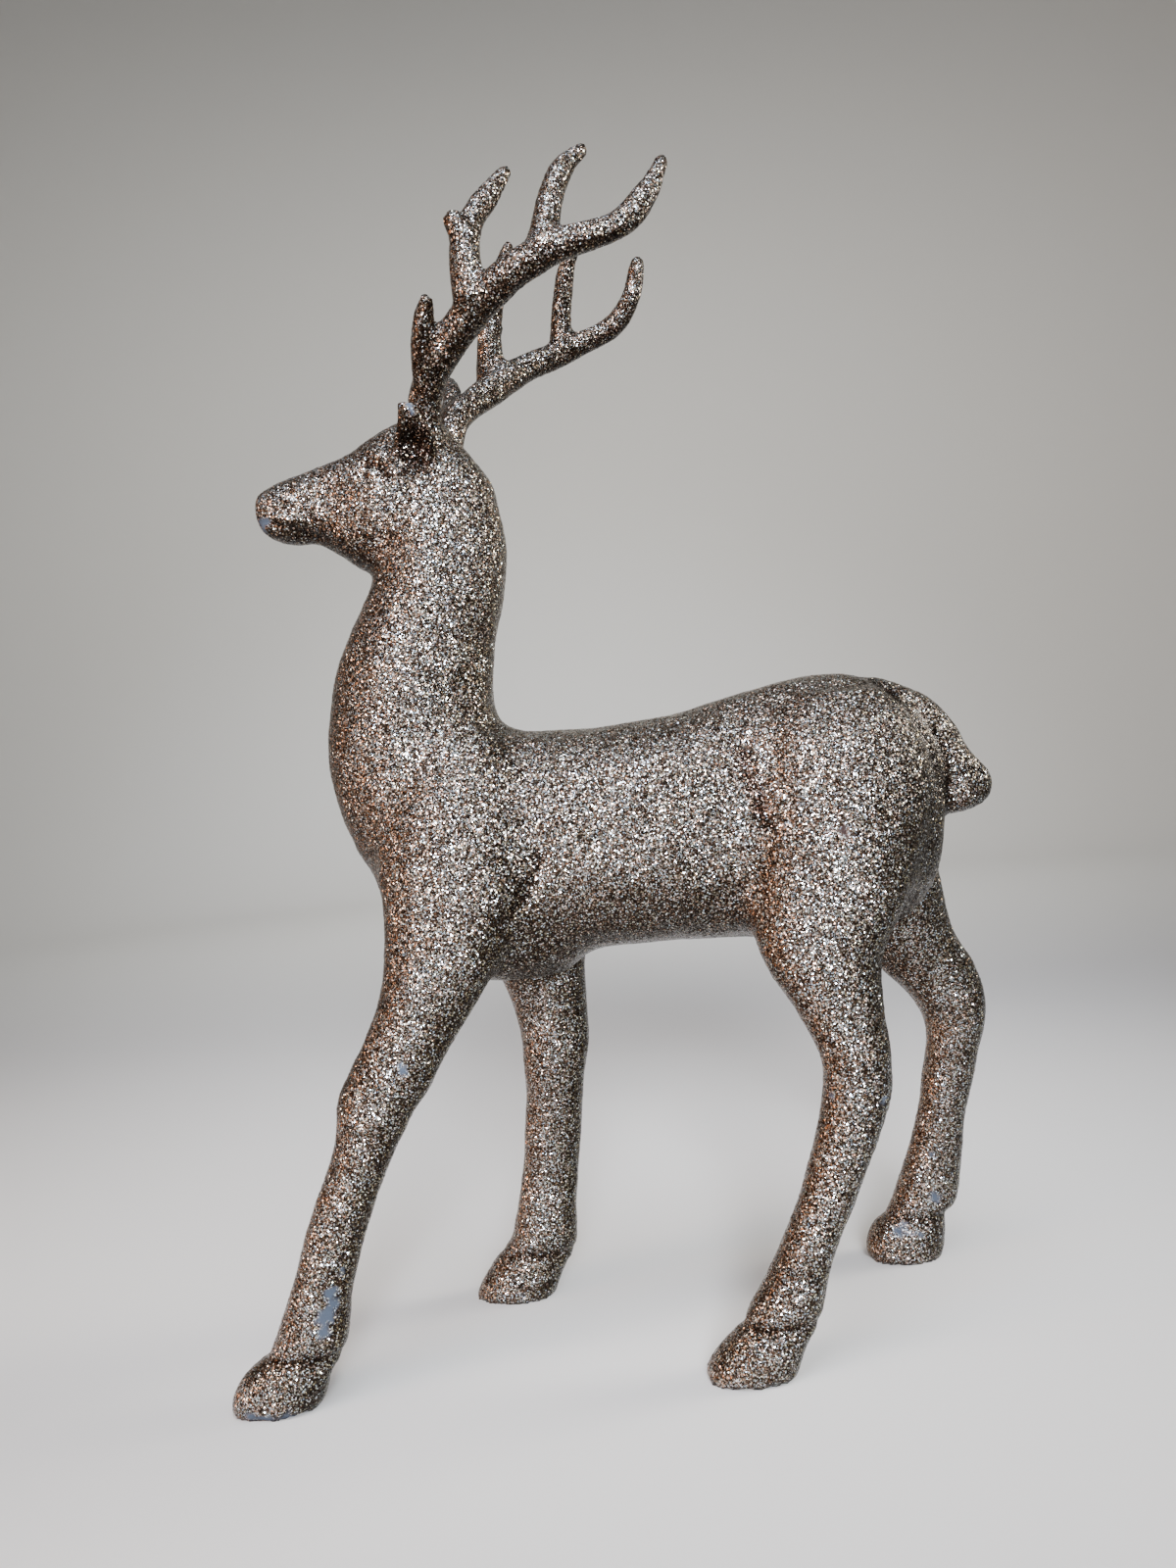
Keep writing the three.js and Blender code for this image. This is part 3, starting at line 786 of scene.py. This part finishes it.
# Painted shade: towards the undersides, the tail side and in hollows fewer flakes are painted as
# catching the light, and those that are stay bright; on crests more are, as painted highlights: each
# flake's chance is raised to a power.
power = addNode(tree, "Value").outputs[0]
power.default_value = 1
for name, fewer in glitter["fewer"].items():
    power = addNode(tree, "Math", {"operation": "MULTIPLY_ADD"}, i0=painted[name], i1=fewer,
                    i2=power).outputs[0]
catching = addNode(tree, "Math", {"operation": "POWER"}, i0=split.outputs["Red"], i1=power).outputs[0]
ramps = {}
for name, factor in {"bright": catching, "hue": hue.outputs[0]}.items():
    node = addNode(tree, "ValToRGB", Fac=factor)
    stops = glitter["ramps"][name]
    for position, _ in stops[2:]:
        node.color_ramp.elements.new(position)
    for element, (position, hexColour) in zip(node.color_ramp.elements, stops):
        element.position = position
        element.color = linear(hexColour)
    ramps[name] = node.outputs["Color"]
colour = addNode(tree, "Mix", {"data_type": "RGBA", "blend_type": "MULTIPLY"}, i0=1.0,
                 i6=ramps["bright"], i7=ramps["hue"]).outputs[2]
for name, strength, blend, hexColour in glitter["tints"]:
    amount = addNode(tree, "Math", {"operation": "MULTIPLY"}, i0=painted[name], i1=strength)
    colour = addNode(tree, "Mix", {"data_type": "RGBA", "blend_type": blend},
                     i0=amount.outputs[0], i6=colour, i7=linear(hexColour)).outputs[2]

surface = addNode(tree, "NewGeometry")
centred = addNode(tree, "VectorMath", {"operation": "SUBTRACT"}, i0=cells.outputs["Color"],
                  i1=(0.5, 0.5, 0.5))
covered = addNode(tree, "Math", {"operation": "SUBTRACT", "use_clamp": True}, i0=1.0,
                  i1=painted["bald"])
lean = addNode(tree, "Math", {"operation": "MULTIPLY"}, i0=covered.outputs[0], i1=glitter["tilt"])
leaning = addNode(tree, "VectorMath", {"operation": "SCALE"}, i0=centred.outputs[0],
                  Scale=lean.outputs[0])
tilted = addNode(tree, "VectorMath", {"operation": "ADD"}, i0=surface.outputs["Normal"],
                 i1=leaning.outputs[0])
flakeNormal = addNode(tree, "VectorMath", {"operation": "NORMALIZE"}, i0=tilted.outputs[0])
gloss = addNode(tree, "MapRange", i1=0.0, i2=1.0, i3=glitter["roughness"][0],
                i4=glitter["roughness"][1], Value=split.outputs["Blue"])
dulled = addNode(tree, "Math", {"operation": "MULTIPLY_ADD"}, i0=painted["bald"],
                 i1=glitter["baldRoughness"], i2=gloss.outputs[0])
foil = addNode(tree, "Math", {"operation": "MULTIPLY"}, i0=covered.outputs[0],
               i1=glitter["metal"])
shader = addNode(tree, "BsdfPrincipled", Normal=flakeNormal.outputs[0], Roughness=dulled.outputs[0],
                 Metallic=foil.outputs[0])
shader.inputs["Specular IOR Level"].default_value = glitter["specular"]
tree.links.new(colour, shader.inputs["Base Color"])
addNode(tree, "OutputMaterial", Surface=shader.outputs[0])
mesh.materials.append(finish)

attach(reindeer, "root")
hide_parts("reindeer")
print("glitter done")

# Studio: a pale floor that curves up into a pale wall far away on every side
studio = {
    "floorRadius": 2.2,
    "coveRadius": 0.8,
    "wallHeight": 4.5,
    "floorRings": 12,
    "coveRings": 14,
    "sides": 96,
    "floor": "#d9d7d3",
    "floorRoughness": 0.9,
    "room": "#dfe4ea",
    "roomStrength": 0.27,
}
coveTurn = np.linspace(0.1, np.pi / 2, studio["coveRings"])
radii = np.concatenate([
    np.linspace(0, studio["floorRadius"], studio["floorRings"]),
    studio["floorRadius"] + studio["coveRadius"] * np.sin(coveTurn),
    [studio["floorRadius"] + studio["coveRadius"]],
])
heights = np.concatenate([
    np.zeros(studio["floorRings"]),
    studio["coveRadius"] * (1 - np.cos(coveTurn)),
    [studio["wallHeight"]],
])
turns = np.linspace(0, 2 * np.pi, studio["sides"], endpoint=False)
dish = np.stack([radii[:, None] * np.cos(turns), radii[:, None] * np.sin(turns),
                 np.broadcast_to(heights[:, None], (len(radii), len(turns)))], axis=-1)
index = np.arange(len(radii) * len(turns)).reshape(-1, len(turns))
turnedIndex = np.roll(index, -1, axis=1)
dishFaces = np.stack([index[:-1], index[1:], turnedIndex[1:], turnedIndex[:-1]], axis=-1)
floorMesh = bpy.data.meshes.new("studio_floor")
floorMesh.from_pydata(dish.reshape(-1, 3).tolist(), [], dishFaces.reshape(-1, 4).tolist())
floorMesh.shade_smooth()
floor = bpy.data.objects.new("studio_floor", floorMesh)
bpy.context.scene.collection.objects.link(floor)

# Pale matt paper, which gives the eye nothing but the figure's soft shadow
paper = bpy.data.materials.new("matt paper floor")
paper.use_nodes = True
paperSockets = paper.node_tree.nodes["Principled BSDF"].inputs
paperSockets["Base Color"].default_value = linear(studio["floor"])
paperSockets["Roughness"].default_value = studio["floorRoughness"]
floorMesh.materials.append(paper)

# Lights: place, what it points at, size, power in watts, spread in degrees, colour
lights = {
    "key box with a grid": [(1.35, 0.05, 0.64), (0, 0.0, 0.31), 0.55, 6, 40, "#eaf0fc"],
    "box above": [(0.45, 0.0, 1.5), (0, 0, 0.24), 0.7, 8, 120, "#eef3ff"],
    "warm box by the nose": [(0.55, -1.2, 0.4), (0, 0, 0.24), 0.5, 5.5, 120, "#ffdcc4"],
    "box behind the tail": [(-0.15, 1.25, 0.8), (0, -0.08, 0.34), 0.5, 3.5, 60, "#f3efe8"],
    "box on the wall": [(-1.0, 0.0, 1.5), (-3, 0, 0.5), 0.8, 24, 150, "#f6f6f4"],
}
for name, (spotPlace, target, size, power, spread, colourHex) in lights.items():
    lamp = bpy.data.lights.new(name, "AREA")
    lamp.shape = "DISK"
    lamp.size = size
    lamp.energy = power
    lamp.spread = math.radians(spread)
    lamp.color = linear(colourHex)[:3]
    holder = bpy.data.objects.new(name, lamp)
    away = np.subtract(spotPlace, target)
    away /= np.linalg.norm(away)
    right = np.cross([0, 0, 1], away)
    right /= np.linalg.norm(right)
    turned = np.stack([right, np.cross(away, right), away], axis=1)
    holder.matrix_world = Matrix.LocRotScale(spotPlace, Matrix(turned.tolist()), None)
    bpy.context.scene.collection.objects.link(holder)
world = bpy.data.worlds.new("soft room")
world.use_nodes = True
worldSockets = world.node_tree.nodes["Background"].inputs
worldSockets["Color"].default_value = linear(studio["room"])
worldSockets["Strength"].default_value = studio["roomStrength"]
bpy.context.scene.world = world

# Camera: level with the belly, on the left side, turned a little so that the ground rises to
# the right, as in the photograph
view = {
    "lens": 27,
    "sensor": 36,
    "distance": 498.2 * mm,
    "height": 230.5 * mm,
    "back": -7.5 * mm,
    "roll": math.radians(4.8),
    "nearest": 10 * mm,
}
camera = bpy.data.objects.new("camera", bpy.data.cameras.new("camera"))
camera.data.lens = view["lens"]
camera.data.sensor_width = view["sensor"]
camera.data.clip_start = view["nearest"]
cosine, sine = math.cos(view["roll"]), math.sin(view["roll"])
camera.matrix_world = Matrix([
    [0, 0, 1, view["distance"]],
    [cosine, sine, 0, view["back"]],
    [-sine, cosine, 0, view["height"]],
    [0, 0, 0, 1],
])
bpy.context.scene.collection.objects.link(camera)
bpy.context.scene.camera = camera
